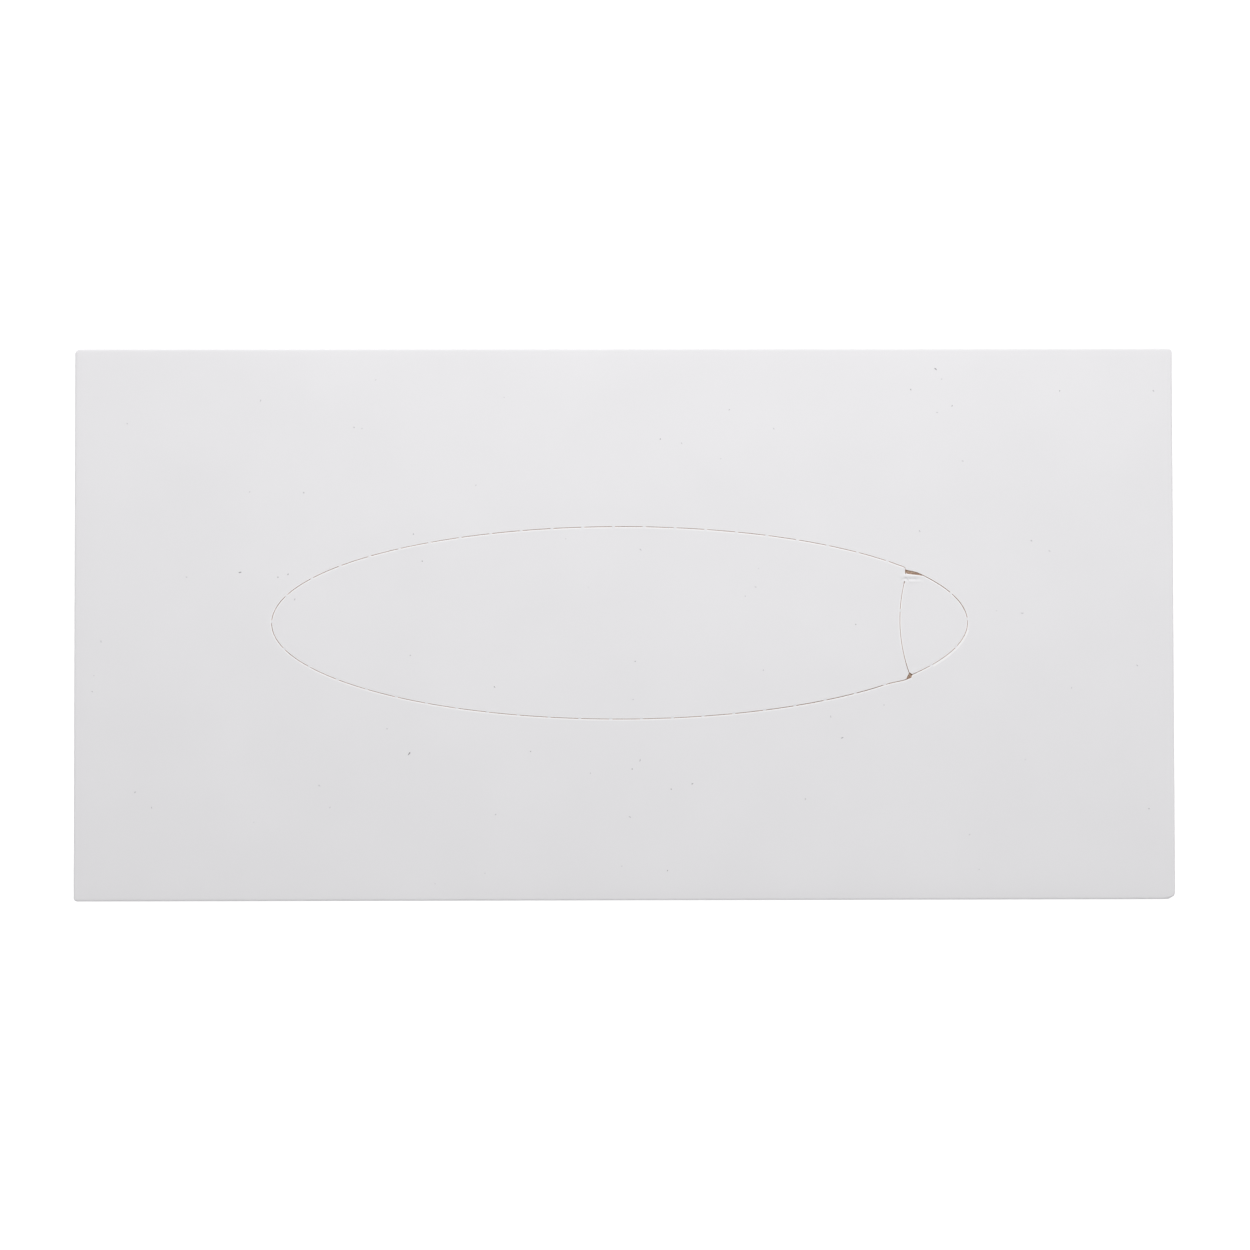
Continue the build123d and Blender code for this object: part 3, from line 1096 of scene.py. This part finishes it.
def torn_patches():
    """The core that shows in the two tears."""
    (left_x, _), (corner_x, corner_y), (right_x, right_y) = BACK_TEAR
    x = np.linspace(left_x + TORN_GAP, right_x - BACK_TORN_END_GAP, BACK_TORN_ROWS)
    share = (x - corner_x) / (right_x - corner_x)
    low_line = corner_y + share * (right_y - corner_y) + TORN_GAP
    distance = oval_distance_at(x, 1)
    high_line = oval_point(distance, -TORN_GAP - torn_lip(distance))[:, 1]
    high_line = np.maximum(high_line, low_line + TORN_LEAST_WIDTH)
    torn_patch("back_tear_core", low_line, high_line, x, False)

    (tip_x, tip_y), (_, left_foot_y), (foot_x, foot_y) = FRONT_TEAR
    y = np.linspace(tip_y - 2 * TORN_GAP, left_foot_y + FRONT_TORN_END_GAP, FRONT_TORN_ROWS)
    share = np.clip((tip_y - y) / (tip_y - foot_y), 0, 1)
    right_line = tip_x + share * (foot_x - tip_x) - TORN_GAP
    left_line = np.minimum(main_edge(y) + TORN_GAP, right_line - TORN_LEAST_WIDTH)
    torn_patch("front_tear_core", left_line, right_line, y, True)


# The fibres that show through the coating


def board_specks():
    """Dark and pale fibres caught in the coating: flat ellipsoids, half of
    each below the surface, three-lobed, and stretched along a heading."""
    draw = np.random.default_rng(SPECK_SEED)
    faint = np.column_stack(
        [
            draw.uniform(-HALF_LENGTH + SPECK_MARGIN, HALF_LENGTH - SPECK_MARGIN, FAINT_SPECKS),
            draw.uniform(-HALF_WIDTH + SPECK_MARGIN, HALF_WIDTH - SPECK_MARGIN, FAINT_SPECKS),
            draw.uniform(*FAINT_RADII, FAINT_SPECKS),
        ]
    )
    x, y, radius = np.vstack([PLACED_SPECKS, faint]).T[:, :, None, None]
    stretch = draw.uniform(*SPECK_STRETCH, x.shape)
    heading = draw.uniform(0, np.pi, x.shape)
    around = np.linspace(0, 2 * np.pi, SPECK_SIDES + 1)[:-1][None, None, :]
    up = np.linspace(-1, 1, SPECK_RINGS + 2)[1:-1][None, :, None]
    flat = np.sqrt(1 - up**2)
    lobe = 1 + SPECK_LOBE * np.sin(3 * around + 5 * heading)
    long_way = radius * stretch * flat * np.cos(around) * lobe
    short_way = radius / stretch**0.5 * flat * np.sin(around) * lobe
    point_x = x + long_way * np.cos(heading) - short_way * np.sin(heading)
    point_y = y + long_way * np.sin(heading) + short_way * np.cos(heading)
    middle_z = top_height(x, y)
    point_z = np.broadcast_to(middle_z + SPECK_RISE * up, point_x.shape)
    rings = np.stack([point_x, point_y, point_z], -1).reshape(len(x), -1, 3)
    middles = np.stack([x, y, middle_z], -1)[:, 0]
    poles = np.concatenate([middles - [0, 0, SPECK_RISE], middles + [0, 0, SPECK_RISE]], 1)
    points = np.concatenate([rings, poles], 1)

    index = np.arange(SPECK_RINGS * SPECK_SIDES).reshape(SPECK_RINGS, SPECK_SIDES)
    following = np.roll(index, -1, axis=1)
    walls = np.stack([index[:-1], following[:-1], following[1:], index[1:]], -1).reshape(-1, 4)
    under = np.full(SPECK_SIDES, index.size)
    foot = np.stack([under, following[0], index[0]], -1)
    cap = np.stack([under + 1, index[-1], following[-1]], -1)
    step = (np.arange(len(x)) * points.shape[1])[:, None, None]
    faces = (walls + step).reshape(-1, 4).tolist()
    faces += (foot + step).reshape(-1, 3).tolist() + (cap + step).reshape(-1, 3).tolist()
    first_points = np.array([face[0] for face in faces])
    is_faint = first_points >= len(PLACED_SPECKS) * points.shape[1]
    make_piece("board_specks", points.reshape(-1, 3), faces, is_faint, (speck_fibre, pale_fibre))


# The stage, the light and the camera


def table_top():
    """White table, lit evenly so that it stays white round the carton."""
    bpy.ops.mesh.primitive_plane_add(size=40.0, location=(0, 0, -0.2 * MM))
    table = bpy.context.object
    table.name = "table_top"
    material, _, shader = new_material("white_table")
    shader.inputs["Base Color"].default_value = linear("8C8C8C")
    shader.inputs["Roughness"].default_value = 0.9
    shader.inputs["Emission Color"].default_value = (1, 1, 1, 1)
    shader.inputs["Emission Strength"].default_value = 0.92
    table.data.materials.append(material)


def soft_box(name, place, aim, size, watts):
    """Square area light that looks at a point."""
    light = bpy.data.lights.new(name, "AREA")
    light.shape = "SQUARE"
    light.size = size
    light.energy = watts
    holder = bpy.data.objects.new(name, light)
    direction = np.array(place) - np.array(aim)
    yaw = math.atan2(direction[1], direction[0])
    tilt = math.acos(direction[2] / np.linalg.norm(direction))
    holder.location = place
    holder.rotation_euler = (0, tilt, yaw)
    holder.visible_camera = False
    bpy.context.scene.collection.objects.link(holder)


def soft_room():
    """Light of a white room, brightest near the floor: three levels of grey by
    the height of the direction."""
    world = bpy.data.worlds.new("soft_room")
    world.use_nodes = True
    tree = world.node_tree
    direction = add_node(tree, "ShaderNodeTexCoord", {}, {}).outputs["Generated"]
    parts = add_node(tree, "ShaderNodeSeparateXYZ", {}, {"Vector": direction})
    fade = add_node(tree, "ShaderNodeValToRGB", {}, {"Fac": parts.outputs["Z"]})
    ramp = fade.color_ramp
    for position, level in ((0.04, 1.05), (0.14, 0.52), (0.5, 0.34)):
        stop = ramp.elements.new(position)
        stop.color = (level, level, level, 1)
    ramp.elements.remove(ramp.elements[0])
    ramp.elements.remove(ramp.elements[-1])
    tree.links.new(fade.outputs["Color"], tree.nodes["Background"].inputs["Color"])
    bpy.context.scene.world = world


def camera_above():
    """The camera, straight above the carton but for a degree or so."""
    lens = bpy.data.cameras.new("camera")
    lens.lens = 85.0
    lens.sensor_width = 36.0
    camera = bpy.data.objects.new("camera", lens)
    camera.location = (-4.17 * MM, -15.48 * MM, 661.6 * MM)
    camera.rotation_euler = [math.radians(angle) for angle in (1.421, -0.393, -0.098)]
    bpy.context.scene.collection.objects.link(camera)
    bpy.context.scene.camera = camera
    bpy.context.scene.view_settings.view_transform = "Standard"


table_top()
soft_box("back_light", place=(0.03, 0.27, 0.5), aim=(0, 0, 0.048), size=0.6, watts=2.6)
soft_room()
camera_above()

carton_skin()
tear_out_panel()
finger_tab()
torn_patches()
board_specks()
